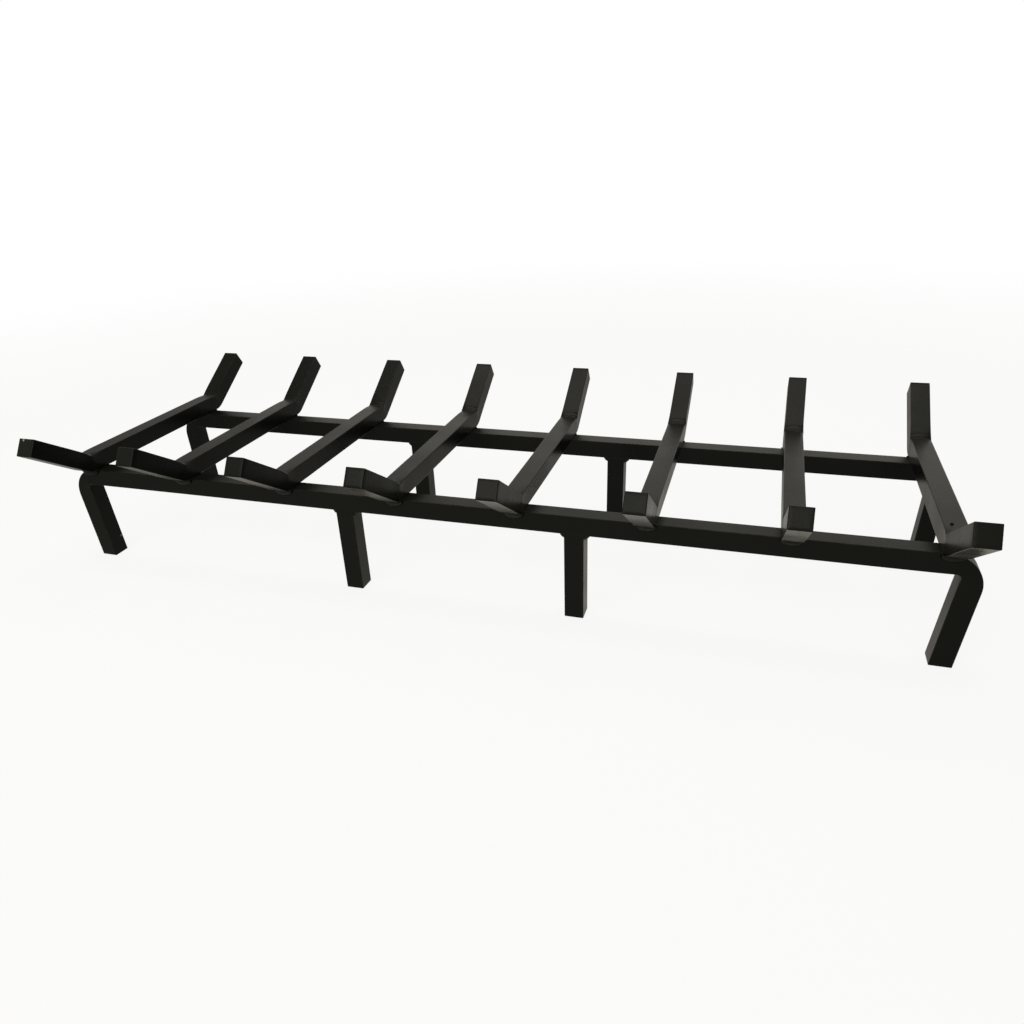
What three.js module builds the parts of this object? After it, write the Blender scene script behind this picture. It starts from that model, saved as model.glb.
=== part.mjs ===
// Log grate for a fireplace: bars of solid square steel, bent up at both ends, lie across two
// rails whose ends are bent down into legs, with more legs butted under the rails between them.
// Every joint is a weld bead. Millimetres, +X along the rails, front at -Y, +Z up, floor at Z = 0.

import * as THREE from 'three';

// Stock
const stock = 19.05;            // 3/4 in solid square bar, which every piece is cut from
const edgeEase = 0.7;           // rounding of the bar's long edges and of its saw cuts
const edgeFacets = 2;           // facets across one eased edge
const bendFacets = 7;           // facets along one bend

// Rails and legs
const legClearance = 91.5;      // floor to the underside of the rails
const railSpacing = 198;        // front rail to rear rail, centre to centre
const legBend = { inside: 4, outside: 31 };   // radii where a rail turns down into its end leg
const frontLegOverhang = 19.5;  // outer bar to the outer face of a front end leg, at rail height
const rearLegOverhang = 22.5;
const frontLegLean = THREE.MathUtils.degToRad(5.5);   // the end legs lean in towards their feet
const rearLegLean = THREE.MathUtils.degToRad(2.5);
const frontMiddleLegs = 241;    // the two middle legs of the front rail, centre to centre
const rearMiddleLegs = 246.5;

// Bars
const barCount = 8;
const barPitch = 125;           // centre to centre
const barBend = { inside: 5, outside: 5 + stock };    // radii of a bar's press bends
const frontBendOverhang = 4.4;  // front bend point before the front face of the front rail
const rearBendOverhang = 7.5;   // rear bend point behind the rear face of the rear rail
const armLength = 78.8;         // bend point to saw cut, along the middle of the bar
const armRise = THREE.MathUtils.degToRad(33);

// Weld beads
const frontBead = { length: 18.5, out: 4.5, along: 5.5 };
const innerBead = { length: 13, out: 3.2, along: 3.8 };
const outerBead = { length: 21.5, out: 4, along: 4.5 };
const legBead = { length: 17, out: 4.5, along: 4.5 };
const beadFullness = 0.8;       // 0.5 is a flat fillet, 1 a full round one
const beadEndSize = 0.35;       // size of a bead at its ends, against its middle
const beadStations = 9;         // sections along a bead
const beadFacets = 4;           // facets across a bead
const seamGap = 0.3;            // under a bend, between the bead and the bar

const railTop = legClearance + stock;
const barsWidth = (barCount - 1) * barPitch + stock;

// The upright rail faces that the bar beads sit on, from the middle between the rails
const railFrontFace = -railSpacing / 2 - stock / 2;
const rearRailInnerFace = railSpacing / 2 - stock / 2;
const rearRailOuterFace = railSpacing / 2 + stock / 2;

// Which way an outline's x, y and thickness run once it stands in the grate
const acrossBar = new THREE.Matrix4().makeBasis(
  new THREE.Vector3(0, 1, 0),
  new THREE.Vector3(0, 0, 1),
  new THREE.Vector3(1, 0, 0),
);
const acrossRail = new THREE.Matrix4().makeBasis(
  new THREE.Vector3(1, 0, 0),
  new THREE.Vector3(0, 0, 1),
  new THREE.Vector3(0, -1, 0),
);

// The rounded bends of one face of a bar whose middle line runs through the given corners. The side
// is 1 for the face on the right of the bar's run and -1 for the one on its left. A sharp bend
// thins the bar on its outside, so the inside and the outside each have a radius of their own.
function faceBends(corners, side, bendRadius) {
  const offset = (side * stock) / 2;
  const bends = [];
  for (let i = 1; i < corners.length - 1; i += 1) {
    const into = corners[i].clone().sub(corners[i - 1]).normalize();
    const outOf = corners[i + 1].clone().sub(corners[i]).normalize();
    const turn = Math.atan2(into.cross(outOf), into.dot(outOf));
    const radius = turn * side > 0 ? bendRadius.outside : bendRadius.inside;
    const toLeft = new THREE.Vector2(-into.y, into.x);
    const tangentPoint = corners[i].clone().addScaledVector(toLeft, -offset);
    tangentPoint.addScaledVector(into, offset * Math.tan(turn / 2) - radius * Math.tan(Math.abs(turn) / 2));
    const centre = tangentPoint.clone().addScaledVector(toLeft, Math.sign(turn) * radius);
    const startAngle = tangentPoint.clone().sub(centre).angle();
    bends.push({ centre, radius, turn, startAngle, endAngle: startAngle + turn });
  }
  return bends;
}

// One saw-cut end, from one face of the bar to the other, with both corners eased. The cut is
// square to the bar unless the direction it faces is given.
function addSawCut(shape, end, away, facing = away) {
  const half = stock / 2;
  const right = new THREE.Vector2(away.y, -away.x);
  const slant = right.dot(facing) / away.dot(facing);
  const point = (back, across) => end.clone()
    .addScaledVector(away, -back - across * slant)
    .addScaledVector(right, across);
  const cut = [
    point(edgeEase, half),
    point(0, half - edgeEase),
    point(0, edgeEase - half),
    point(edgeEase, -half),
  ];
  cut.forEach((corner) => shape.lineTo(corner.x, corner.y));
}

// Side outline of a bar bent along its middle line: out along the right face, back along the left
function bentBarOutline(corners, bendRadius, facing) {
  const first = corners[0];
  const last = corners[corners.length - 1];
  const setOut = corners[1].clone().sub(first).normalize();
  const arrive = last.clone().sub(corners[corners.length - 2]).normalize();
  const start = first.clone().addScaledVector(setOut, stock / 2);
  const shape = new THREE.Shape();
  shape.moveTo(start.x + (setOut.y * stock) / 2, start.y - (setOut.x * stock) / 2);
  faceBends(corners, 1, bendRadius).forEach(({ centre, radius, turn, startAngle, endAngle }) => {
    shape.absarc(centre.x, centre.y, radius, startAngle, endAngle, turn < 0);
  });
  addSawCut(shape, last, arrive, facing);
  faceBends(corners, -1, bendRadius).reverse().forEach(({ centre, radius, turn, startAngle, endAngle }) => {
    shape.absarc(centre.x, centre.y, radius, endAngle, startAngle, turn > 0);
  });
  addSawCut(shape, first, setOut.clone().negate(), facing);
  return shape;
}

// The outline given the bar's width, with its four long edges eased
function barSolid(corners, bendRadius, placement, facing) {
  const solid = new THREE.ExtrudeGeometry(bentBarOutline(corners, bendRadius, facing), {
    depth: stock - 2 * edgeEase,
    curveSegments: bendFacets,
    bevelThickness: edgeEase,
    bevelSize: edgeEase,
    bevelOffset: -edgeEase,
    bevelSegments: edgeFacets,
  });
  solid.translate(0, 0, edgeEase - stock / 2);
  solid.applyMatrix4(placement);
  return solid;
}

// Height of a bar's underside over the rail at a distance before the rail's front face
function undersideRise(beforeFace) {
  const bendStart = frontBendOverhang - (barBend.outside - stock / 2) * Math.tan(armRise / 2);
  const pastStart = beforeFace - bendStart;
  const arcEnd = barBend.outside * Math.sin(armRise);
  const inArc = THREE.MathUtils.clamp(pastStart, 0, arcEnd);
  const arcRise = barBend.outside - Math.sqrt(barBend.outside ** 2 - inArc ** 2);
  return arcRise + Math.max(pastStart - arcEnd, 0) * Math.tan(armRise);
}

// Section of a bead in the corner between a face and what lies over it, at one size: along the
// cover from the corner outwards, then back down the bulging skin to the face. The cover is flat
// unless its height at a distance from the face is given.
function beadSection(bead, size, coverHeight = () => 0) {
  const out = bead.out * size;
  const along = bead.along * size;
  const section = [];
  for (let i = 0; i <= beadFacets; i += 1) {
    const distance = (out * i) / beadFacets;
    section.push(new THREE.Vector2(distance, coverHeight(distance)));
  }
  const tip = section[section.length - 1];
  const bulge = new THREE.Vector2(out * beadFullness, -along * beadFullness);
  const skin = new THREE.QuadraticBezierCurve(tip, bulge, new THREE.Vector2(0, -along));
  section.push(...skin.getPoints(beadFacets).slice(1));
  return section;
}

// A bead laid along its corner: sections lofted along x, largest in the middle, closed at the ends
function beadSolid(bead, coverHeight) {
  const points = [];
  const faces = [];
  let ring = 0;
  for (let station = 0; station < beadStations; station += 1) {
    const place = (2 * station) / (beadStations - 1) - 1;
    const size = beadEndSize + (1 - beadEndSize) * Math.sqrt(1 - place * place);
    const section = beadSection(bead, size, coverHeight);
    ring = section.length;
    section.forEach((corner) => points.push((place * bead.length) / 2, -corner.x, corner.y));
  }
  for (let station = 0; station < beadStations - 1; station += 1) {
    for (let i = 0; i < ring; i += 1) {
      const here = station * ring + i;
      const next = station * ring + ((i + 1) % ring);
      faces.push(here, next, here + ring, next, next + ring, here + ring);
    }
  }
  const lastRing = (beadStations - 1) * ring;
  const foot = ring - 1;
  for (let i = 0; i < ring - 2; i += 1) {
    faces.push(foot, i + 1, i);
    faces.push(lastRing + foot, lastRing + i, lastRing + i + 1);
  }
  const solid = new THREE.BufferGeometry();
  solid.setAttribute('position', new THREE.Float32BufferAttribute(points, 3));
  solid.setIndex(faces);
  solid.computeVertexNormals();
  return solid;
}

const grate = new THREE.Group();

function addPiece(name, geometry, x, y, z, turn = 0) {
  const finish = new THREE.MeshStandardMaterial({ color: 0x1c1c1b, roughness: 0.62, metalness: 0.0 });
  const piece = new THREE.Mesh(geometry, finish);
  piece.name = name;
  piece.position.set(x, y, z);
  piece.rotation.z = turn;
  grate.add(piece);
}

// A rail and its two end legs are one bar: up from the floor, along, and down to the floor again.
// The legs lean in a little, and their feet are cut level with the floor.
function addRail(name, y, legOverhang, lean) {
  const railMiddle = railTop - stock / 2;
  const bendPoint = barsWidth / 2 + legOverhang - stock / 2;
  const foot = bendPoint - railMiddle * Math.tan(lean);
  const corners = [
    new THREE.Vector2(-foot, 0),
    new THREE.Vector2(-bendPoint, railMiddle),
    new THREE.Vector2(bendPoint, railMiddle),
    new THREE.Vector2(foot, 0),
  ];
  const floorward = new THREE.Vector2(0, -1);
  addPiece(name, barSolid(corners, legBend, acrossRail, floorward), 0, y, 0);
}

// A middle leg is a straight cut, with a bead on each side where it meets the rail
function addMiddleLeg(name, x, y) {
  const corners = [new THREE.Vector2(0, 0), new THREE.Vector2(0, legClearance)];
  addPiece(name, barSolid(corners, legBend, acrossRail), x, y, 0);
  const fillet = beadSolid(legBead);
  addPiece(`${name}_weld_left`, fillet, x - stock / 2, y, legClearance, -Math.PI / 2);
  addPiece(`${name}_weld_right`, fillet.clone(), x + stock / 2, y, legClearance, Math.PI / 2);
}

// A bar lies flat on both rails between its two bends, its equal arms rising to the front and rear
function addBar(number, x) {
  const middle = stock / 2;
  const frontBend = railFrontFace - frontBendOverhang;
  const rearBend = rearRailOuterFace + rearBendOverhang;
  const reach = armLength * Math.cos(armRise);
  const tip = middle + armLength * Math.sin(armRise);
  const corners = [
    new THREE.Vector2(frontBend - reach, tip),
    new THREE.Vector2(frontBend, middle),
    new THREE.Vector2(rearBend, middle),
    new THREE.Vector2(rearBend + reach, tip),
  ];
  addPiece(`bar_${number}`, barSolid(corners, barBend, acrossBar), x, 0, railTop);
}

// The beads of one bar: under its front bend, and on both faces of the rear rail
function addBarBeads(number, x) {
  const underBend = (out) => Math.max(undersideRise(out) - seamGap, 0);
  const toRear = Math.PI;
  addPiece(`weld_front_${number}`, beadSolid(frontBead, underBend), x, railFrontFace, railTop);
  addPiece(`weld_inner_${number}`, beadSolid(innerBead), x, rearRailInnerFace, railTop);
  addPiece(`weld_outer_${number}`, beadSolid(outerBead), x, rearRailOuterFace, railTop, toRear);
}

addRail('front_rail', -railSpacing / 2, frontLegOverhang, frontLegLean);
addRail('rear_rail', railSpacing / 2, rearLegOverhang, rearLegLean);

addMiddleLeg('front_leg_left', -frontMiddleLegs / 2, -railSpacing / 2);
addMiddleLeg('front_leg_right', frontMiddleLegs / 2, -railSpacing / 2);
addMiddleLeg('rear_leg_left', -rearMiddleLegs / 2, railSpacing / 2);
addMiddleLeg('rear_leg_right', rearMiddleLegs / 2, railSpacing / 2);

for (let i = 0; i < barCount; i += 1) {
  const x = (i - (barCount - 1) / 2) * barPitch;
  addBar(i + 1, x);
  addBarBeads(i + 1, x);
}

// The origin is on the floor, under the middle of the overall box
const overall = new THREE.Box3().setFromObject(grate);
grate.position.y = -(overall.min.y + overall.max.y) / 2;

export default grate;
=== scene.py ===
import math

import bpy
from mathutils import Matrix, Vector


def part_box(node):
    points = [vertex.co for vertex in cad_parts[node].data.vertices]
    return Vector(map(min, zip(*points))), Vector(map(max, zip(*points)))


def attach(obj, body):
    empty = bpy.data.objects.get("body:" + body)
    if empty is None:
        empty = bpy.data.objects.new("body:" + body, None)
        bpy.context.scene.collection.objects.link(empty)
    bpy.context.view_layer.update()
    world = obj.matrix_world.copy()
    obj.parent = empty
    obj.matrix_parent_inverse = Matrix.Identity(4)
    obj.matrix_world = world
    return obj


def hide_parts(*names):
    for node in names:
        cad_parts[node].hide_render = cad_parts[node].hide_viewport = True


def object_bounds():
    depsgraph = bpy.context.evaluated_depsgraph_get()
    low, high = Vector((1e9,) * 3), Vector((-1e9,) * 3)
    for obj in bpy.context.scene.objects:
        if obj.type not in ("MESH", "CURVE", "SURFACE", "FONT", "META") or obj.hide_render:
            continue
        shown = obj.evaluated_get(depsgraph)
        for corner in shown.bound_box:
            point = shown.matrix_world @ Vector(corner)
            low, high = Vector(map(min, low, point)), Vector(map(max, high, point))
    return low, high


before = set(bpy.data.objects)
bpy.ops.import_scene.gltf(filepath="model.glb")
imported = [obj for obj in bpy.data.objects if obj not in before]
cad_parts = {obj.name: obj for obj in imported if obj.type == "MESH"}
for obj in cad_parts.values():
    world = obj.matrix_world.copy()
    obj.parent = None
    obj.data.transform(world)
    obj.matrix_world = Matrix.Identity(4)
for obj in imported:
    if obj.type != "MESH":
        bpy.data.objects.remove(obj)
cad_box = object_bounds()

# ---------------------------------------------------------------------------------------------
# Rails with their end legs
# Each rail is one length of solid square bar, cold-bent down at both ends. The ends are legs that
# lean in a little and are sawn level at the floor. The grate is sprayed all over with satin
# heat-proof black, thin enough that the rolled skin and the saw marks show through it.
# ---------------------------------------------------------------------------------------------

rail_low, rail_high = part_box("front_rail")
STOCK = rail_high.y - rail_low.y
HALF = STOCK / 2
RAIL_TOP = rail_high.z
OUTER_BAR_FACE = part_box("bar_8")[1].x

EDGE_EASE = 0.0007
LEG_BEND_INSIDE = 0.004
LEG_BEND_OUTSIDE = 0.031
LEG_BEND_SWELL = 0.060
LEG_BEND_EDGE_DROP = 0.0008
LEG_BEND_CREASE = 0.0004
LEG_BEND_ZONE = 0.027
LEG_BEND_STEP = 0.0009
END_LEGS = {
    "front_rail": {"overhang": 0.0195, "lean": math.radians(5.5)},
    "rear_rail": {"overhang": 0.0225, "lean": math.radians(2.5)},
}

ROLLING_DIP = 0.00006
EASE_STEPS = 4
FLAT_STEPS = 7
PLAIN_STEP = 0.005

PAINT_BLACK = (0.0040, 0.0045, 0.0036, 1.0)
PAINT_DUSTY = (0.0110, 0.0110, 0.0090, 1.0)
# Lighter colour along the edges: partly paint wear, partly a painted highlight.
PAINT_WEAR_AND_HIGHLIGHT = (0.0200, 0.0200, 0.0170, 1.0)
# Lighter colour for faces that overhang at a slant: a painted reflection of the pale floor.
PAINT_UNDERSIDE_REFLECTION = (0.1000, 0.0960, 0.0800, 1.0)
PALE_GROUND = (0.30, 0.25, 0.18, 1.0)
PAINT_GLOSS = 0.088
END_CHIP = (-0.4412, -0.1762, 0.1692)
END_CHIP_REACH = 0.0029
LEG_CHIP = (-0.4390, -0.0930, 0.0190)
LEG_CHIP_REACH = 0.0024


def add_step(tree, kind, *values, **settings):
    """Adds one node, sets its options, feeds its shown inputs in order; None leaves one alone."""
    node = tree.nodes.new(kind)
    for name, value in settings.items():
        setattr(node, name, value)
    shown = [socket for socket in node.inputs if socket.enabled]
    for socket, value in zip(shown, values):
        if isinstance(value, bpy.types.NodeSocket):
            tree.links.new(value, socket)
        elif value is not None:
            socket.default_value = value
    return node


def reckon(tree, operation, *values):
    """One Math node; gives its result."""
    return add_step(tree, "ShaderNodeMath", *values, operation=operation).outputs[0]


def mask_by_name(tree, name):
    return add_step(tree, "ShaderNodeAttribute", attribute_name=name).outputs["Fac"]


def noise(tree, place, scale, detail=2.0, stretch=(1.0, 1.0, 1.0)):
    """Noise in cells per metre, drawn out by stretch along each axis."""
    mapping = add_step(tree, "ShaderNodeMapping", place, None, None, stretch)
    node = add_step(tree, "ShaderNodeTexNoise", mapping.outputs[0])
    if isinstance(scale, bpy.types.NodeSocket):
        tree.links.new(scale, node.inputs["Scale"])
    else:
        node.inputs["Scale"].default_value = scale
    node.inputs["Detail"].default_value = detail
    return node.outputs["Fac"]


def ramp(tree, value, low, high, to_low=0.0, to_high=1.0):
    """A smooth change from to_low to to_high while value goes from low to high."""
    limits = (low, high, to_low, to_high)
    node = add_step(tree, "ShaderNodeMapRange", value, *limits, interpolation_type="SMOOTHSTEP")
    return node.outputs["Result"]


def blend(tree, mask, below, above):
    """Colour above over colour below, by mask."""
    node = tree.nodes.new("ShaderNodeMix")
    node.data_type = "RGBA"
    tree.links.new(mask, node.inputs[0])
    for socket, value in ((node.inputs[6], below), (node.inputs[7], above)):
        if isinstance(value, bpy.types.NodeSocket):
            tree.links.new(value, socket)
        else:
            socket.default_value = value
    return node.outputs[2]


def new_group(name, inputs, outputs):
    """An empty shader group with named sockets: (name, socket type, default or None)."""
    group = bpy.data.node_groups.new(name, "ShaderNodeTree")
    for socket_name, kind, default in inputs:
        socket = group.interface.new_socket(socket_name, in_out="INPUT", socket_type=kind)
        if default is not None:
            socket.default_value = default
    for socket_name, kind in outputs:
        group.interface.new_socket(socket_name, in_out="OUTPUT", socket_type=kind)
    given = group.nodes.new("NodeGroupInput").outputs
    return group, given, group.nodes.new("NodeGroupOutput").inputs


def build_sprayed_paint():
    """Sprayed paint: cloudy coverage, a fine dry stipple, dust on what faces up, and a painted
    reflection of the pale floor, a lighter colour, on faces that overhang at a slant."""
    tree, given, result = new_group(
        "sprayed_paint",
        [
            ("Place", "NodeSocketVector", None),
            ("Stipple per Metre", "NodeSocketFloat", 900.0),
            ("Clouds per Metre", "NodeSocketFloat", 22.0),
            ("Dust", "NodeSocketFloat", 0.5),
            ("Thin Coat", "NodeSocketFloat", 0.0),
        ],
        [
            ("Color", "NodeSocketColor"),
            ("Roughness", "NodeSocketFloat"),
            ("Height", "NodeSocketFloat"),
        ],
    )
    clouds = noise(tree, given["Place"], given["Clouds per Metre"], 4.0)
    stipple = noise(tree, given["Place"], given["Stipple per Metre"], 3.0)
    facing = add_step(tree, "ShaderNodeNewGeometry").outputs["Normal"]
    upward = add_step(tree, "ShaderNodeSeparateXYZ", facing).outputs["Z"]
    settled = ramp(tree, upward, 0.35, 0.98)
    patchy = ramp(tree, clouds, 0.3, 0.72, 0.25, 1.0)
    grains = ramp(tree, stipple, 0.35, 0.70, 0.3, 1.4)
    dust = reckon(tree, "MULTIPLY", reckon(tree, "MULTIPLY", settled, patchy), given["Dust"])
    dust = reckon(tree, "MULTIPLY", dust, grains)
    # Faces that overhang at a slant turn lighter: a painted reflection of the floor, not a real
    # coat.
    downward_enough = ramp(tree, upward, -0.75, -0.55, 1.0, 0.0)
    overhang = reckon(tree, "MULTIPLY", downward_enough, ramp(tree, upward, -0.97, -0.90))
    underside_reflection = reckon(tree, "MULTIPLY", reckon(tree, "MULTIPLY", overhang, patchy), given["Thin Coat"])
    dusty = blend(tree, dust, PAINT_BLACK, PAINT_DUSTY)
    tree.links.new(blend(tree, underside_reflection, dusty, PAINT_UNDERSIDE_REFLECTION), result["Color"])
    satin = ramp(tree, clouds, 0.3, 0.7, 0.25, 0.32)
    tree.links.new(reckon(tree, "MULTIPLY_ADD", dust, 0.06, satin), result["Roughness"])
    tree.links.new(stipple, result["Height"])
    return tree


def build_edge_wear_and_highlight():
    """Paint drawn thin over an edge: smoother there, and lighter in broken stretches, partly from
    wear and partly as a painted highlight.
    """
    tree, given, result = new_group(
        "worn_edge",
        [
            ("Place", "NodeSocketVector", None),
            ("Edge", "NodeSocketFloat", 0.0),
            ("Color", "NodeSocketColor", None),
            ("Roughness", "NodeSocketFloat", 0.5),
        ],
        [("Color", "NodeSocketColor"), ("Roughness", "NodeSocketFloat")],
    )
    broken = ramp(tree, noise(tree, given["Place"], 90.0, 5.0), 0.44, 0.66, 0.1, 0.8)
    # The lighter colour along the edges is partly wear and partly a painted highlight.
    rubbed_and_highlit = reckon(tree, "MULTIPLY", given["Edge"], broken)
    tree.links.new(blend(tree, rubbed_and_highlit, given["Color"], PAINT_WEAR_AND_HIGHLIGHT), result["Color"])
    smoother = reckon(tree, "MULTIPLY_ADD", rubbed_and_highlit, -0.05, given["Roughness"])
    tree.links.new(smoother, result["Roughness"])
    return tree


def build_paint_chip():
    """A small knock through the paint to the pale ground, broken into specks."""
    tree, given, result = new_group(
        "paint_chip",
        [
            ("Place", "NodeSocketVector", None),
            ("Centre", "NodeSocketVector", None),
            ("Reach", "NodeSocketFloat", 0.003),
        ],
        [("Mask", "NodeSocketFloat")],
    )
    ends = (given["Place"], given["Centre"])
    away = add_step(tree, "ShaderNodeVectorMath", *ends, operation="DISTANCE").outputs["Value"]
    near = reckon(tree, "DIVIDE", away, given["Reach"])
    specks = noise(tree, given["Place"], 520.0, 3.0)
    edge = reckon(tree, "MULTIPLY_ADD", specks, 2.2, near)
    tree.links.new(ramp(tree, edge, 1.30, 1.62, 1.0, 0.0), result["Mask"])
    return tree


sprayed_paint = build_sprayed_paint()
worn_edge = build_edge_wear_and_highlight()
paint_chip = build_paint_chip()


def use_group(tree, group, **values):
    """Places a shader group and feeds its named inputs (underscores stand for spaces)."""
    node = tree.nodes.new("ShaderNodeGroup")
    node.node_tree = group
    for name, value in values.items():
        socket = node.inputs[name.replace("_", " ")]
        if isinstance(value, bpy.types.NodeSocket):
            tree.links.new(value, socket)
        else:
            socket.default_value = value
    return node.outputs


def new_material(name, specular):
    """An empty Principled material; gives it, its node tree and its shader."""
    material = bpy.data.materials.new(name)
    material.use_nodes = True
    shader = material.node_tree.nodes["Principled BSDF"]
    shader.inputs["Specular IOR Level"].default_value = specular
    return material, material.node_tree, shader


def build_bar_paint():
    """Paint over rolled bar: roll lines along it, scale patches, saw marks on its cut ends."""
    material, tree, shader = new_material("satin_black_bar", PAINT_GLOSS)
    place = add_step(tree, "ShaderNodeAttribute", attribute_name="blank_place").outputs["Vector"]
    spot = add_step(tree, "ShaderNodeTexCoord").outputs["Object"]
    edge, sawn, strained = (mask_by_name(tree, name) for name in ("worn", "sawn", "strained"))
    # The bars get the painted floor reflection on their slanted undersides.
    paint = use_group(tree, sprayed_paint, Place=place, Dust=0.6, Thin_Coat=1.0)
    worn = use_group(
        tree, worn_edge, Place=place, Edge=edge, Color=paint["Color"], Roughness=paint["Roughness"]
    )
    end_chip = use_group(tree, paint_chip, Place=spot, Centre=END_CHIP, Reach=END_CHIP_REACH)
    leg_chip = use_group(tree, paint_chip, Place=spot, Centre=LEG_CHIP, Reach=LEG_CHIP_REACH)
    chips = reckon(tree, "MAXIMUM", end_chip["Mask"], leg_chip["Mask"])
    tree.links.new(blend(tree, chips, worn["Color"], PALE_GROUND), shader.inputs["Base Color"])
    tree.links.new(worn["Roughness"], shader.inputs["Roughness"])

    roll_lines = noise(tree, place, 1.0, 2.0, stretch=(700.0, 5.0, 700.0))
    scale_patches = ramp(tree, noise(tree, place, 140.0, 4.0), 0.50, 0.56)
    crumples = noise(tree, place, 1.0, 2.0, stretch=(120.0, 900.0, 120.0))
    saw_lines = noise(tree, place, 1.0, 1.0, stretch=(60.0, 60.0, 2200.0))
    skin = reckon(tree, "MULTIPLY", roll_lines, 0.25)
    skin = reckon(tree, "MULTIPLY_ADD", scale_patches, 0.05, skin)
    skin = reckon(tree, "MULTIPLY", skin, reckon(tree, "SUBTRACT", 1.0, sawn))
    skin = reckon(tree, "MULTIPLY_ADD", reckon(tree, "MULTIPLY", saw_lines, sawn), 0.9, skin)
    skin = reckon(tree, "MULTIPLY_ADD", reckon(tree, "MULTIPLY", crumples, strained), 1.6, skin)
    height = reckon(tree, "MULTIPLY_ADD", paint["Height"], 1.3, skin)
    height = reckon(tree, "MULTIPLY_ADD", chips, -1.5, height)
    bump = add_step(tree, "ShaderNodeBump")
    bump.inputs["Strength"].default_value = 0.45
    bump.inputs["Distance"].default_value = 0.00010
    tree.links.new(height, bump.inputs["Height"])
    tree.links.new(bump.outputs["Normal"], shader.inputs["Normal"])
    return material


def square_ring(inset):
    """Outline of the bar's section with eased edges; each point with how far it is on an edge."""
    half = HALF - inset
    ease = max(EDGE_EASE - inset, 0.00012)
    flat = half - ease
    points = []
    for quarter in range(4):
        turn = Matrix.Rotation(quarter * math.pi / 2, 2)
        for i in range(EASE_STEPS + 1):
            angle = i / EASE_STEPS * math.pi / 2
            corner = Vector((flat + ease * math.cos(angle), flat + ease * math.sin(angle)))
            points.append((turn @ corner, 1.0 if 0 < i < EASE_STEPS else 0.4))
        margin = min(0.0004, flat / 4)
        for i in range(FLAT_STEPS + 1):
            across = (flat - margin) * (1 - 2 * i / FLAT_STEPS)
            points.append((turn @ Vector((across, half)), 0.0))
    return points


def stations(start, end, fine_zones):
    """Places along a bar: each zone (low, high, step) that will be bent has its own close step."""
    places = [start]
    while places[-1] < end:
        here = places[-1]
        step = PLAIN_STEP
        for low, high, fine_step in fine_zones:
            if low <= here <= high:
                step = fine_step
            elif here < low:
                step = min(step, low - here + fine_step)
        places.append(here + step)
    places[-1] = end
    if places[-1] - places[-2] < EDGE_EASE:
        places.pop(-2)
    return places


def cut_blank(name, start, end, fine_zones, shift=0.0, slant=0.0):
    """A straight length of bar along Y, sawn at both ends, with eased corners. A slant leans both
    cuts over the bar's height, the lower side longer."""
    ease_angles = [i / EASE_STEPS * math.pi / 2 for i in range(EASE_STEPS)]
    easing = [(EDGE_EASE, 0.0)]
    for angle in reversed(ease_angles):
        easing.append((EDGE_EASE * (1 - math.cos(angle)), EDGE_EASE * (1 - math.sin(angle))))
    rings = [(start, EDGE_EASE, scale, 1.0) for scale in (0.34, 0.68)]
    rings += [(start + back, inset, 1.0, 1.0 if back == 0.0 else 0.0) for inset, back in easing]
    for place in stations(start + EDGE_EASE, end - EDGE_EASE, fine_zones)[1:-1]:
        rings.append((place, 0.0, 1.0, 0.0))
    for inset, back in reversed(easing):
        rings.append((end - back, inset, 1.0, 1.0 if back == 0.0 else 0.0))
    rings += [(end, EDGE_EASE, scale, 1.0) for scale in (0.68, 0.34)]

    corners, faces, edge_mask, cut_mask = [], [], [], []
    count = len(square_ring(0.0))

    def leaned(place, height):
        from_end = min(place - start, end - place)
        lean = slant * height * max(0.0, 1.0 - from_end / STOCK)
        return place + (lean if place - start < end - place else -lean)

    for place, inset, scale, cut in rings:
        for point, edge in square_ring(inset):
            corners.append((point.x * scale, leaned(place, point.y * scale), point.y * scale))
            edge_mask.append(edge if scale == 1.0 and not (cut and inset < EDGE_EASE) else 0.0)
            cut_mask.append(cut)
    for ring in range(len(rings) - 1):
        for i in range(count):
            here, after = ring * count + i, ring * count + (i + 1) % count
            faces.append((here, here + count, after + count, after))
    first, last = len(corners), len(corners) + 1
    corners += [(0.0, start, 0.0), (0.0, end, 0.0)]
    edge_mask += [0.0, 0.0]
    cut_mask += [1.0, 1.0]
    final = (len(rings) - 1) * count
    for i in range(count):
        faces.append((first, i, (i + 1) % count))
        faces.append((last, final + (i + 1) % count, final + i))

    mesh = bpy.data.meshes.new(name)
    mesh.from_pydata(corners, [], faces)
    # The edge mask drives both paint wear and a painted highlight along the eased edges.
    mesh.attributes.new("worn", "FLOAT", "POINT").data.foreach_set("value", edge_mask)
    mesh.attributes.new("sawn", "FLOAT", "POINT").data.foreach_set("value", cut_mask)
    place = mesh.attributes.new("blank_place", "FLOAT_VECTOR", "POINT")
    shifted = [value for x, y, z in corners for value in (x + shift, y + shift, z)]
    place.data.foreach_set("vector", shifted)
    mesh.shade_smooth()
    return mesh


def new_geometry_tree(name, inputs):
    """A geometry tree with named inputs; gives the tree, its input sockets and its output node."""
    tree = bpy.data.node_groups.new(name, "GeometryNodeTree")
    tree.interface.new_socket("Geometry", in_out="INPUT", socket_type="NodeSocketGeometry")
    for socket_name, kind, default in inputs:
        socket = tree.interface.new_socket(socket_name, in_out="INPUT", socket_type=kind)
        if default is not None:
            socket.default_value = default
    tree.interface.new_socket("Geometry", in_out="OUTPUT", socket_type="NodeSocketGeometry")
    return tree, tree.nodes.new("NodeGroupInput").outputs, tree.nodes.new("NodeGroupOutput")


BEND_SIZES = [
    ("Angle", "NodeSocketFloat", 0.5),
    ("Lift", "NodeSocketFloat", 1.0),
    ("Inside Radius", "NodeSocketFloat", 0.005),
    ("Outside Radius", "NodeSocketFloat", 0.024),
    ("Swell", "NodeSocketFloat", 0.02),
    ("Edge Drop", "NodeSocketFloat", 0.0010),
    ("Crease", "NodeSocketFloat", 0.0003),
]


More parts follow.
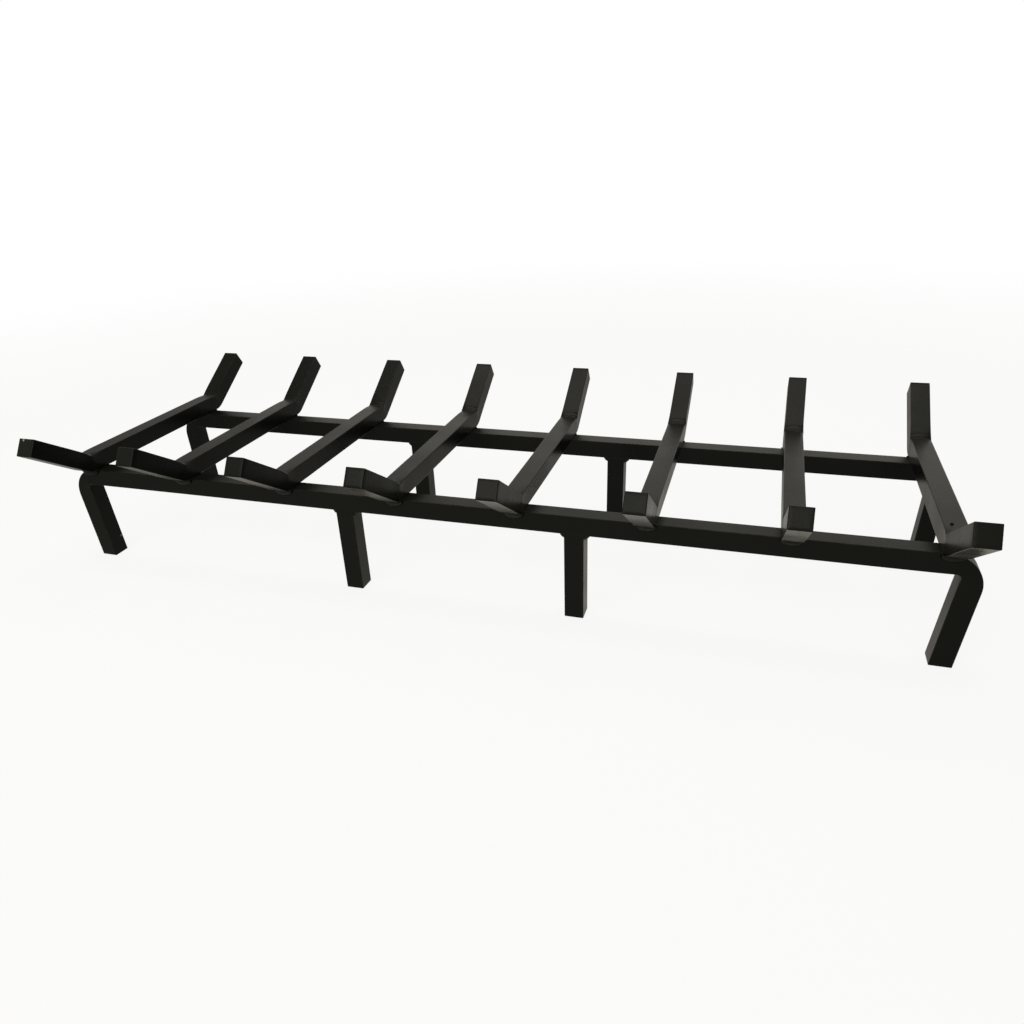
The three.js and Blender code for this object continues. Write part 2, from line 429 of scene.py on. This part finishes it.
def build_press_bend():
    """Bends a bar that lies along Y at a Corner of its middle line, on one Side, by an Angle. The
    inside and the outside have radii of their own; the squeezed inside swells, its edges drop and
    round over, and its face creases."""
    own = [("Corner", "NodeSocketFloat", 0.0), ("Side", "NodeSocketFloat", 1.0)]
    tree, given, done = new_geometry_tree("press_bend", own + BEND_SIZES)
    position = tree.nodes.new("GeometryNodeInputPosition").outputs[0]
    across, along, height = add_step(tree, "ShaderNodeSeparateXYZ", position).outputs
    past = reckon(tree, "MULTIPLY", reckon(tree, "SUBTRACT", along, given["Corner"]), given["Side"])
    toward = reckon(tree, "MULTIPLY", height, given["Lift"])
    inward = reckon(tree, "MAXIMUM", reckon(tree, "MINIMUM", toward, HALF), -HALF)
    elsewhere = reckon(tree, "SUBTRACT", toward, inward)
    inside = reckon(tree, "MULTIPLY_ADD", inward, 0.5 / HALF, 0.5)
    spread = reckon(tree, "SUBTRACT", given["Inside Radius"], given["Outside Radius"])
    radius = reckon(tree, "MULTIPLY_ADD", spread, inside, given["Outside Radius"])
    middle = reckon(tree, "ADD", radius, inward)
    half_turn = reckon(tree, "TANGENT", reckon(tree, "MULTIPLY", given["Angle"], 0.5))
    reach = reckon(tree, "MULTIPLY", middle, half_turn)
    into_arc = reckon(tree, "ADD", past, reach)
    share = reckon(tree, "DIVIDE", into_arc, reckon(tree, "MULTIPLY", reach, 2.0))
    share = reckon(tree, "MAXIMUM", reckon(tree, "MINIMUM", share, 1.0), 0.0)
    turned = reckon(tree, "MULTIPLY", share, given["Angle"])
    before = reckon(tree, "MINIMUM", into_arc, 0.0)
    after = reckon(tree, "MAXIMUM", reckon(tree, "SUBTRACT", past, reach), 0.0)
    sine, cosine = reckon(tree, "SINE", turned), reckon(tree, "COSINE", turned)

    from_middle = reckon(tree, "DIVIDE", past, reckon(tree, "MULTIPLY_ADD", half_turn, HALF, 0.005))
    from_middle = reckon(tree, "MULTIPLY", from_middle, from_middle)
    nearness = reckon(tree, "EXPONENT", reckon(tree, "MULTIPLY", from_middle, -0.6))
    squeezed = reckon(tree, "MULTIPLY", nearness, reckon(tree, "POWER", inside, 2.0))
    wider = reckon(tree, "MULTIPLY_ADD", squeezed, given["Swell"], 1.0)
    sideways = reckon(tree, "DIVIDE", across, HALF)
    crown = reckon(tree, "SUBTRACT", 1.0, reckon(tree, "MULTIPLY", sideways, sideways))
    towards_edge = reckon(tree, "POWER", reckon(tree, "ABSOLUTE", sideways), 4.0)
    dropped = reckon(tree, "MULTIPLY", towards_edge, nearness)
    dropped = reckon(tree, "MULTIPLY", dropped, reckon(tree, "POWER", inside, 3.0))
    dropped = reckon(tree, "MULTIPLY", dropped, given["Edge Drop"])
    ragged = add_step(tree, "ShaderNodeTexNoise", position).outputs["Fac"]
    ragged.node.inputs["Scale"].default_value = 200.0

    def crease(beyond, bow, width):
        """A shallow ragged groove across the inside, bowed towards the end of the bar."""
        line = reckon(tree, "MULTIPLY_ADD", reckon(tree, "SUBTRACT", ragged, 0.5), 0.005, past)
        line = reckon(tree, "SUBTRACT", line, reckon(tree, "MULTIPLY_ADD", crown, bow, beyond))
        line = reckon(tree, "DIVIDE", line, width)
        line = reckon(tree, "MULTIPLY", line, line)
        return reckon(tree, "EXPONENT", reckon(tree, "MULTIPLY", line, -1.0))

    groove = reckon(tree, "ADD", crease(0.0005, 0.0010, 0.0010), crease(0.0065, 0.0028, 0.0011))
    groove = reckon(tree, "ADD", groove, crease(0.0033, 0.0018, 0.0008))
    groove = reckon(tree, "MULTIPLY", groove, reckon(tree, "POWER", inside, 12.0))
    groove = reckon(tree, "MULTIPLY", groove, given["Crease"])
    pressed = reckon(tree, "SUBTRACT", elsewhere, reckon(tree, "ADD", dropped, groove))
    arm = reckon(tree, "SUBTRACT", radius, pressed)
    forward = reckon(tree, "SUBTRACT", before, reach)
    forward = reckon(tree, "MULTIPLY_ADD", arm, sine, forward)
    forward = reckon(tree, "MULTIPLY_ADD", after, cosine, forward)
    rise = reckon(tree, "SUBTRACT", middle, reckon(tree, "MULTIPLY", arm, cosine))
    rise = reckon(tree, "MULTIPLY_ADD", after, sine, rise)
    bent = add_step(
        tree,
        "ShaderNodeCombineXYZ",
        reckon(tree, "MULTIPLY", across, wider),
        reckon(tree, "MULTIPLY_ADD", forward, given["Side"], given["Corner"]),
        reckon(tree, "MULTIPLY", rise, given["Lift"]),
    )
    marked = add_step(tree, "GeometryNodeStoreNamedAttribute", given["Geometry"], data_type="FLOAT")
    marked.inputs["Name"].default_value = "strained"
    bent_already = add_step(tree, "GeometryNodeInputNamedAttribute", "strained", data_type="FLOAT")
    face_only = reckon(tree, "MULTIPLY", nearness, reckon(tree, "POWER", inside, 10.0))
    whole = reckon(tree, "MAXIMUM", bent_already.outputs[0], face_only)
    tree.links.new(whole, marked.inputs["Value"])
    moved = add_step(tree, "GeometryNodeSetPosition", marked.outputs[0], None, bent.outputs[0])
    tree.links.new(moved.outputs[0], done.inputs[0])
    return tree


def build_bent_bar():
    """A blank bent at two corners, with the slight hollows of rolled bar in its faces."""
    own = [
        ("First Corner", "NodeSocketFloat", 0.0),
        ("Second Corner", "NodeSocketFloat", 0.0),
        ("Rolling Dip", "NodeSocketFloat", ROLLING_DIP),
        ("Seed", "NodeSocketFloat", 0.0),
        ("Material", "NodeSocketMaterial", None),
    ]
    tree, given, done = new_geometry_tree("bent_bar", own + BEND_SIZES)
    position = tree.nodes.new("GeometryNodeInputPosition").outputs[0]
    waves = add_step(tree, "ShaderNodeTexNoise", position, given["Seed"], noise_dimensions="4D")
    waves.inputs["Scale"].default_value = 40.0
    outwards = tree.nodes.new("GeometryNodeInputNormal").outputs[0]
    dip = reckon(tree, "MULTIPLY", waves.outputs["Fac"], given["Rolling Dip"])
    dip = reckon(tree, "MULTIPLY", dip, -1.0)
    offset = add_step(tree, "ShaderNodeVectorMath", outwards, operation="SCALE")
    tree.links.new(dip, offset.inputs["Scale"])
    rolled = add_step(tree, "GeometryNodeSetPosition", given["Geometry"])
    tree.links.new(offset.outputs[0], rolled.inputs["Offset"])
    solid = rolled.outputs[0]
    for side, corner in ((-1.0, "First Corner"), (1.0, "Second Corner")):
        bend = tree.nodes.new("GeometryNodeGroup")
        bend.node_tree = press_bend
        bend.inputs["Side"].default_value = side
        tree.links.new(given[corner], bend.inputs["Corner"])
        for size_name, kind, default in BEND_SIZES:
            tree.links.new(given[size_name], bend.inputs[size_name])
        tree.links.new(solid, bend.inputs["Geometry"])
        solid = bend.outputs[0]
    real = add_step(tree, "GeometryNodeRealizeInstances", solid)
    painted = add_step(tree, "GeometryNodeSetMaterial", real.outputs[0])
    tree.links.new(given["Material"], painted.inputs["Material"])
    tree.links.new(painted.outputs[0], done.inputs[0])
    return tree


def run_tree(mesh, name, tree, **values):
    """Runs a geometry tree on a mesh with its named inputs set; gives the finished mesh."""
    carrier = bpy.data.objects.new(name + "_blank", mesh)
    bpy.context.scene.collection.objects.link(carrier)
    modifier = carrier.modifiers.new("shape", "NODES")
    modifier.node_group = tree
    for item in tree.interface.items_tree:
        if item.in_out == "INPUT" and item.name.replace(" ", "_") in values:
            modifier[item.identifier] = values[item.name.replace(" ", "_")]
    ready = carrier.evaluated_get(bpy.context.evaluated_depsgraph_get())
    made = bpy.data.meshes.new_from_object(ready)
    made.name = name
    bpy.data.objects.remove(carrier)
    return made


def set_in_place(mesh, name, node, place):
    """Makes a finished mesh the piece that stands for a construction node. No point of it stands
    proud of the whole grate's box."""
    mesh.transform(place)
    for vertex in mesh.vertices:
        vertex.co = [min(max(c, low), high) for c, low, high in zip(vertex.co, *cad_box)]
    piece = bpy.data.objects.new(name, mesh)
    bpy.context.scene.collection.objects.link(piece)
    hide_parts(node)
    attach(piece, "root")
    return piece


bar_paint = build_bar_paint()
press_bend = build_press_bend()
bent_bar = build_bent_bar()

for number, (node, legs) in enumerate(END_LEGS.items()):
    low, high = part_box(node)
    rail_middle = RAIL_TOP - HALF
    corner = OUTER_BAR_FACE + legs["overhang"] - HALF
    far_end = corner + rail_middle / math.cos(legs["lean"])
    zones = [(at - LEG_BEND_ZONE, at + LEG_BEND_ZONE, LEG_BEND_STEP) for at in (-corner, corner)]
    blank = cut_blank(
        node + "_blank", -far_end, far_end, zones, shift=3.1 * number, slant=math.tan(legs["lean"])
    )
    rail = run_tree(
        blank,
        node + "_bar",
        bent_bar,
        First_Corner=-corner,
        Second_Corner=corner,
        Angle=math.pi / 2 + legs["lean"],
        Lift=-1.0,
        Inside_Radius=LEG_BEND_INSIDE,
        Outside_Radius=LEG_BEND_OUTSIDE,
        Swell=LEG_BEND_SWELL,
        Edge_Drop=LEG_BEND_EDGE_DROP,
        Crease=LEG_BEND_CREASE,
        Seed=float(number),
        Material=bar_paint,
    )
    along_x = Matrix.Rotation(-math.pi / 2, 4, "Z")
    place = Matrix.Translation((0.0, (low.y + high.y) / 2, rail_middle)) @ along_x
    set_in_place(rail, node + "_bar", node, place)

# ---------------------------------------------------------------------------------------------
# Middle legs
# Four short lengths of the same bar, saw-cut square at both ends, stand under the rails on
# either side of the middle. The upper cut is butted to the rail's underside and welded.
# ---------------------------------------------------------------------------------------------

MIDDLE_LEGS = ["front_leg_left", "front_leg_right", "rear_leg_left", "rear_leg_right"]

for number, node in enumerate(MIDDLE_LEGS):
    low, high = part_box(node)
    blank = cut_blank(node + "_blank", low.z, high.z, [], shift=7.7 + 1.3 * number)
    leg = run_tree(
        blank,
        node + "_bar",
        bent_bar,
        Angle=0.0,
        Swell=0.0,
        Edge_Drop=0.0,
        Crease=0.0,
        Seed=10.0 + number,
        Material=bar_paint,
    )
    upright = Matrix.Rotation(math.pi / 2, 4, "X")
    place = Matrix.Translation(((low.x + high.x) / 2, (low.y + high.y) / 2, 0.0)) @ upright
    set_in_place(leg, node + "_bar", node, place)

# ---------------------------------------------------------------------------------------------
# Grate bars
# Eight lengths of the same bar lie across the rails at an even pitch. Both ends are pressed up
# by the same angle, just outside the rails, to hold the logs.
# ---------------------------------------------------------------------------------------------

BARS = [f"bar_{number}" for number in range(1, 9)]
BAR_BEND_INSIDE = 0.006
BAR_BEND_OUTSIDE = 0.005 + STOCK
BAR_BEND_SWELL = 0.080
BAR_BEND_EDGE_DROP = 0.0015
BAR_BEND_CREASE = 0.00018
BAR_BEND_ZONE = 0.014
BAR_BEND_STEP = 0.0005
FRONT_BEND_OVERHANG = 0.0044
REAR_BEND_OVERHANG = 0.0075
ARM_LENGTH = 0.0788
ARM_RISE = math.radians(33)

front_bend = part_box("front_rail")[0].y - FRONT_BEND_OVERHANG
rear_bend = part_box("rear_rail")[1].y + REAR_BEND_OVERHANG

for number, node in enumerate(BARS):
    low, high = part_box(node)
    bends = (front_bend, rear_bend)
    zones = [(at - BAR_BEND_ZONE, at + BAR_BEND_ZONE, BAR_BEND_STEP) for at in bends]
    start, end = front_bend - ARM_LENGTH, rear_bend + ARM_LENGTH
    blank = cut_blank(node + "_blank", start, end, zones, shift=15.0 + 2.3 * number)
    bar = run_tree(
        blank,
        node + "_steel",
        bent_bar,
        First_Corner=front_bend,
        Second_Corner=rear_bend,
        Angle=ARM_RISE,
        Inside_Radius=BAR_BEND_INSIDE,
        Outside_Radius=BAR_BEND_OUTSIDE,
        Swell=BAR_BEND_SWELL,
        Edge_Drop=BAR_BEND_EDGE_DROP,
        Crease=BAR_BEND_CREASE,
        Seed=20.0 + number,
        Material=bar_paint,
    )
    place = Matrix.Translation(((low.x + high.x) / 2, 0.0, RAIL_TOP + HALF))
    set_in_place(bar, node + "_steel", node, place)

# ---------------------------------------------------------------------------------------------
# Weld beads
# Short fillet beads, laid by hand and painted over, join the bars to the rails and the middle
# legs to the rails. Each bulges in its middle, thins out at its ends and keeps fine ripples.
# ---------------------------------------------------------------------------------------------

BEAD_AROUND = 32
BEAD_ALONG = 56
BEAD_BITE = 0.0008
BEAD_END = 0.35
RIPPLE_PITCH = 0.0017
BEADS = {
    "weld_front": {"length": 0.0202, "out": 0.0056, "down": 0.0074, "turn": 0.0},
    "weld_inner": {"length": 0.0130, "out": 0.0032, "down": 0.0038, "turn": 0.0},
    "weld_outer": {"length": 0.0215, "out": 0.0040, "down": 0.0045, "turn": math.pi},
    "weld_left": {"length": 0.0178, "out": 0.0058, "down": 0.0062, "turn": -math.pi / 2},
    "weld_right": {"length": 0.0178, "out": 0.0058, "down": 0.0068, "turn": math.pi / 2},
}


def build_weld_bead():
    """A bead along X in the corner between an upright face that looks to -Y and what lies over it.
    Its upper side follows a cover that curves up and away with the Cover Radius."""
    tree, given, done = new_geometry_tree(
        "weld_bead",
        [
            ("Length", "NodeSocketFloat", 0.018),
            ("Out", "NodeSocketFloat", 0.0045),
            ("Down", "NodeSocketFloat", 0.005),
            ("Cover Radius", "NodeSocketFloat", 10.0),
            ("Bite", "NodeSocketFloat", BEAD_BITE),
            ("End Size", "NodeSocketFloat", BEAD_END),
            ("Ripple", "NodeSocketFloat", 0.04),
            ("Ripple Pitch", "NodeSocketFloat", RIPPLE_PITCH),
            ("Unsteadiness", "NodeSocketFloat", 0.22),
            ("Seed", "NodeSocketFloat", 0.0),
            ("Material", "NodeSocketMaterial", None),
        ],
    )
    rod = tree.nodes.new("GeometryNodeMeshCylinder")
    rod.inputs["Vertices"].default_value = BEAD_AROUND
    rod.inputs["Side Segments"].default_value = BEAD_ALONG
    rod.inputs["Fill Segments"].default_value = 5
    rod.inputs["Radius"].default_value = 1.0
    rod.inputs["Depth"].default_value = 2.0
    position = tree.nodes.new("GeometryNodeInputPosition").outputs[0]
    outward, downward, along = add_step(tree, "ShaderNodeSeparateXYZ", position).outputs
    left_over = reckon(tree, "SUBTRACT", 1.0, reckon(tree, "MULTIPLY", along, along))
    roundness = reckon(tree, "SQRT", reckon(tree, "MAXIMUM", left_over, 0.0))
    swell = reckon(tree, "SUBTRACT", 1.0, given["End Size"])
    size = reckon(tree, "MULTIPLY_ADD", swell, roundness, given["End Size"])

    place = reckon(tree, "MULTIPLY", reckon(tree, "MULTIPLY", along, 0.5), given["Length"])
    ridge = reckon(tree, "MULTIPLY", reckon(tree, "MULTIPLY", outward, downward), 2.0)
    beat = reckon(tree, "DIVIDE", place, given["Ripple Pitch"])
    beat = reckon(tree, "MULTIPLY_ADD", ridge, 0.45, beat)
    wave = reckon(tree, "SINE", reckon(tree, "MULTIPLY", beat, 2 * math.pi))
    wobble = add_step(tree, "ShaderNodeTexNoise", position, given["Seed"], noise_dimensions="4D")
    wobble.inputs["Scale"].default_value = 1.3
    unsteady = reckon(tree, "SUBTRACT", wobble.outputs["Fac"], 0.5)
    unsteady = reckon(tree, "MULTIPLY", unsteady, given["Unsteadiness"])
    fullness = reckon(tree, "MULTIPLY_ADD", wave, given["Ripple"], 1.0)
    fullness = reckon(tree, "ADD", fullness, unsteady)
    flattened = reckon(tree, "MULTIPLY_ADD", reckon(tree, "MULTIPLY", ridge, ridge), -0.08, 1.0)
    size = reckon(tree, "MULTIPLY", reckon(tree, "MULTIPLY", size, fullness), flattened)

    def leg(direction, reach):
        """Full reach on the open side of the corner, only the bite on the side in the steel."""
        shown = reckon(tree, "MAXIMUM", direction, 0.0)
        shown = reckon(tree, "MULTIPLY", shown, reckon(tree, "MULTIPLY", size, reach))
        sunk = reckon(tree, "MULTIPLY", reckon(tree, "MINIMUM", direction, 0.0), given["Bite"])
        return reckon(tree, "ADD", shown, sunk)

    out, down = leg(outward, given["Out"]), leg(downward, given["Down"])
    clear = reckon(tree, "MAXIMUM", out, 0.0)
    radius = given["Cover Radius"]
    chord = reckon(tree, "MULTIPLY", radius, radius)
    chord = reckon(tree, "SUBTRACT", chord, reckon(tree, "MULTIPLY", clear, clear))
    cover = reckon(tree, "SUBTRACT", radius, reckon(tree, "SQRT", chord))
    formed = add_step(
        tree,
        "ShaderNodeCombineXYZ",
        place,
        reckon(tree, "MULTIPLY", out, -1.0),
        reckon(tree, "SUBTRACT", cover, down),
    )
    moved = add_step(tree, "GeometryNodeSetPosition", rod.outputs["Mesh"], None, formed.outputs[0])
    smooth = add_step(tree, "GeometryNodeSetShadeSmooth", moved.outputs[0])
    real = add_step(tree, "GeometryNodeRealizeInstances", smooth.outputs[0])
    painted = add_step(tree, "GeometryNodeSetMaterial", real.outputs[0])
    tree.links.new(given["Material"], painted.inputs["Material"])
    tree.links.new(painted.outputs[0], done.inputs[0])
    return tree


def build_bead_paint():
    """The same paint over a bead, with a finer stipple, smaller clouds and less dust."""
    material, tree, shader = new_material("satin_black_bead", PAINT_GLOSS)
    spot = add_step(tree, "ShaderNodeTexCoord").outputs["Object"]
    paint = use_group(
        tree, sprayed_paint, Place=spot, Stipple_per_Metre=1300.0, Clouds_per_Metre=120.0, Dust=0.35
    )
    tree.links.new(paint["Color"], shader.inputs["Base Color"])
    tree.links.new(paint["Roughness"], shader.inputs["Roughness"])
    bump = add_step(tree, "ShaderNodeBump")
    bump.inputs["Strength"].default_value = 0.3
    bump.inputs["Distance"].default_value = 0.00008
    tree.links.new(paint["Height"], bump.inputs["Height"])
    tree.links.new(bump.outputs["Normal"], shader.inputs["Normal"])
    return material


bead_paint = build_bead_paint()
weld_bead = build_weld_bead()


def lay_bead(node, kind, corner, seed):
    """Lays the bead of one construction node in its corner."""
    sizes = BEADS[kind]
    bead = run_tree(
        bpy.data.meshes.new(node + "_start"),
        node + "_bead",
        weld_bead,
        Length=sizes["length"],
        Out=sizes["out"],
        Down=sizes["down"],
        Cover_Radius=BAR_BEND_OUTSIDE if kind == "weld_front" else 10.0,
        Seed=seed,
        Material=bead_paint,
    )
    place = Matrix.Translation(corner) @ Matrix.Rotation(sizes["turn"], 4, "Z")
    set_in_place(bead, node + "_bead", node, place)


bead_corners = {
    "weld_front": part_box("front_rail")[0].y,
    "weld_inner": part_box("rear_rail")[0].y,
    "weld_outer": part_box("rear_rail")[1].y,
}
for number, bar in enumerate(BARS):
    low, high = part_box(bar)
    for row, (kind, y) in enumerate(bead_corners.items()):
        corner = ((low.x + high.x) / 2, y, RAIL_TOP)
        lay_bead(f"{kind}_{number + 1}", kind, corner, 3.7 * number + 31.0 * row)
for number, leg in enumerate(MIDDLE_LEGS):
    low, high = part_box(leg)
    for side, x in (("left", low.x), ("right", high.x)):
        corner = (x, (low.y + high.y) / 2, high.z)
        seed = 5.3 * number + (111.0 if side == "left" else 140.0)
        lay_bead(f"{leg}_weld_{side}", "weld_" + side, corner, seed)

# ---------------------------------------------------------------------------------------------
# Weld spatter
# A drop of weld metal froze on the last bar's top and was painted over. It is a low, slightly
# uneven dome stuck on the face.
# ---------------------------------------------------------------------------------------------

BAR_TOP = RAIL_TOP + STOCK
SPATTER = [
    ((0.4345, -0.0932, BAR_TOP), 0.0015),
]


def build_spatter_drops():
    """One drop on each given point, as large as its drop_size, roughened by a seeded noise."""
    tree, given, done = new_geometry_tree(
        "spatter_drops",
        [
            ("Unevenness", "NodeSocketFloat", 0.35),
            ("Seed", "NodeSocketFloat", 4.0),
            ("Material", "NodeSocketMaterial", None),
        ],
    )
    ball = tree.nodes.new("GeometryNodeMeshIcoSphere")
    ball.inputs["Radius"].default_value = 1.0
    ball.inputs["Subdivisions"].default_value = 3
    named = add_step(tree, "GeometryNodeInputNamedAttribute", "drop_size", data_type="FLOAT")
    drops = tree.nodes.new("GeometryNodeInstanceOnPoints")
    tree.links.new(given["Geometry"], drops.inputs["Points"])
    tree.links.new(ball.outputs["Mesh"], drops.inputs["Instance"])
    tree.links.new(named.outputs[0], drops.inputs["Scale"])
    real = add_step(tree, "GeometryNodeRealizeInstances", drops.outputs[0])
    position = tree.nodes.new("GeometryNodeInputPosition").outputs[0]
    lumps = add_step(tree, "ShaderNodeTexNoise", position, given["Seed"], noise_dimensions="4D")
    lumps.inputs["Scale"].default_value = 700.0
    outwards = tree.nodes.new("GeometryNodeInputNormal").outputs[0]
    swing = reckon(tree, "SUBTRACT", lumps.outputs["Fac"], 0.5)
    swing = reckon(tree, "MULTIPLY", swing, given["Unevenness"])
    offset = add_step(tree, "ShaderNodeVectorMath", outwards, operation="SCALE")
    tree.links.new(reckon(tree, "MULTIPLY", swing, 0.001), offset.inputs["Scale"])
    moved = add_step(tree, "GeometryNodeSetPosition", real.outputs[0])
    tree.links.new(offset.outputs[0], moved.inputs["Offset"])
    smooth = add_step(tree, "GeometryNodeSetShadeSmooth", moved.outputs[0])
    painted = add_step(tree, "GeometryNodeSetMaterial", smooth.outputs[0])
    tree.links.new(given["Material"], painted.inputs["Material"])
    tree.links.new(painted.outputs[0], done.inputs[0])
    return tree


drop_points = bpy.data.meshes.new("drop_points")
drop_points.from_pydata([place for place, size in SPATTER], [], [])
drop_sizes = drop_points.attributes.new("drop_size", "FLOAT", "POINT")
drop_sizes.data.foreach_set("value", [size for place, size in SPATTER])
drops = run_tree(drop_points, "weld_spatter", build_spatter_drops(), Material=bead_paint)
spatter = bpy.data.objects.new("weld_spatter", drops)
bpy.context.scene.collection.objects.link(spatter)
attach(spatter, "root")

# ---------------------------------------------------------------------------------------------
# Floor, light and camera
# A plain pale floor under soft light from all round, with one large soft lamp overhead and one
# in front, seen from the front right and above. What shines in the paint is brightest in front of
# and behind the grate and dimmer to its sides.
# ---------------------------------------------------------------------------------------------

FLOOR_REACH = 30.0
STUDIO_LIGHT = 0.45
WHITE = (1.0, 1.0, 1.0, 1.0)
WARM_WHITE = (1.0, 0.97, 0.87, 1.0)
LIT_FLOOR = (0.05, -0.5, 0.0)
BACKWARDS = (0.1, 0.995, 0.0)


def seen_directly(tree):
    """1 for what the camera sees itself or in a gloss, 0 for light that falls on the grate."""
    rays = add_step(tree, "ShaderNodeLightPath").outputs
    seen = reckon(tree, "MAXIMUM", rays["Is Camera Ray"], rays["Is Glossy Ray"])
    return reckon(tree, "MAXIMUM", seen, rays["Is Transmission Ray"])


floor_mesh = bpy.data.meshes.new("floor")
square = ((-1, -1), (1, -1), (1, 1), (-1, 1))
floor_corners = [(x * FLOOR_REACH, y * FLOOR_REACH, 0) for x, y in square]
floor_mesh.from_pydata(floor_corners, [], [(0, 1, 2, 3)])
floor = bpy.data.objects.new("floor", floor_mesh)
bpy.context.scene.collection.objects.link(floor)
floor_material, floor_tree, floor_shader = new_material("pale_floor", 0.0)
floor_shader.inputs["Base Color"].default_value = (0.92, 0.91, 0.89, 1.0)
floor_shader.inputs["Roughness"].default_value = 0.9
in_view = add_step(floor_tree, "ShaderNodeLightPath").outputs["Is Camera Ray"]
glow_color = blend(floor_tree, in_view, WARM_WHITE, WHITE)
glow = add_step(floor_tree, "ShaderNodeEmission", glow_color, 1.0)
spot = add_step(floor_tree, "ShaderNodeTexCoord").outputs["Object"]
from_grate = add_step(floor_tree, "ShaderNodeVectorMath", spot, operation="LENGTH")
whiteness = ramp(floor_tree, from_grate.outputs["Value"], 0.8, 2.4, 0.88, 1.0)
share = reckon(floor_tree, "MULTIPLY", seen_directly(floor_tree), whiteness)
# Seen in a gloss, the floor's glow is a painted pool of light: full near a spot in front of the
# grate, half strength further off.
from_lit = add_step(floor_tree, "ShaderNodeVectorMath", spot, LIT_FLOOR, operation="DISTANCE")
dimmed = ramp(floor_tree, from_lit.outputs["Value"], 0.25, 0.85, 1.0, 0.50)
floor_tree.links.new(reckon(floor_tree, "MAXIMUM", in_view, dimmed), glow.inputs["Strength"])
both = add_step(floor_tree, "ShaderNodeMixShader", share, floor_shader.outputs[0], glow.outputs[0])
floor_tree.links.new(both.outputs[0], floor_tree.nodes["Material Output"].inputs["Surface"])
floor_mesh.materials.append(floor_material)

world = bpy.data.worlds.new("studio")
bpy.context.scene.world = world
world.use_nodes = True
sky = world.node_tree
backdrop = sky.nodes["Background"]
in_view = add_step(sky, "ShaderNodeLightPath").outputs["Is Camera Ray"]
sky.links.new(blend(sky, in_view, WARM_WHITE, WHITE), backdrop.inputs["Color"])
toward = add_step(sky, "ShaderNodeTexCoord").outputs["Generated"]
depthwise = add_step(sky, "ShaderNodeVectorMath", toward, BACKWARDS, operation="DOT_PRODUCT")
behind = ramp(sky, depthwise.outputs["Value"], 0.60, 0.84, 0.45, 1.0)
in_front = ramp(sky, depthwise.outputs["Value"], -0.4, -0.1, 1.0, 0.0)
sided = reckon(sky, "MAXIMUM", in_view, reckon(sky, "MAXIMUM", behind, in_front))
strength = reckon(sky, "MULTIPLY_ADD", seen_directly(sky), 1.0 - STUDIO_LIGHT, STUDIO_LIGHT)
strength = reckon(sky, "MULTIPLY", strength, reckon(sky, "MAXIMUM", sided, STUDIO_LIGHT))
sky.links.new(strength, backdrop.inputs["Strength"])


def hang_lamp(name, size, power, place, tilt):
    data = bpy.data.lights.new(name, "AREA")
    data.shape = "RECTANGLE"
    data.size, data.size_y = size
    data.energy = power
    data.color = WARM_WHITE[:3]
    lamp = bpy.data.objects.new(name, data)
    lamp.location = place
    lamp.rotation_euler = (math.radians(tilt), 0.0, 0.0)
    bpy.context.scene.collection.objects.link(lamp)


hang_lamp("overhead", (1.9, 0.8), 15.0, (0.0, 0.4, 2.0), 0.0)
hang_lamp("front_softbox", (1.6, 0.55), 11.0, (-0.3, -1.55, 1.30), 50.0)

CAMERA_PLACE = (0.27315, -0.75298, 0.43136)
CAMERA_HEADING = math.radians(18.7319)
CAMERA_TILT = math.radians(-27.1282)
CAMERA_ROLL = math.radians(-2.6359)
camera_data = bpy.data.cameras.new("camera")
camera_data.sensor_width = 36.0
camera_data.lens = 27.754
camera_data.shift_x = 0.00439
camera_data.shift_y = 0.02304
camera_data.clip_start = 0.05
camera = bpy.data.objects.new("camera", camera_data)
bpy.context.scene.collection.objects.link(camera)
camera.matrix_world = (
    Matrix.Translation(CAMERA_PLACE)
    @ Matrix.Rotation(CAMERA_HEADING, 4, "Z")
    @ Matrix.Rotation(math.pi / 2 + CAMERA_TILT, 4, "X")
    @ Matrix.Rotation(CAMERA_ROLL, 4, "Z")
)
bpy.context.scene.camera = camera
bpy.context.scene.view_settings.view_transform = "Standard"

bpy.context.view_layer.update()
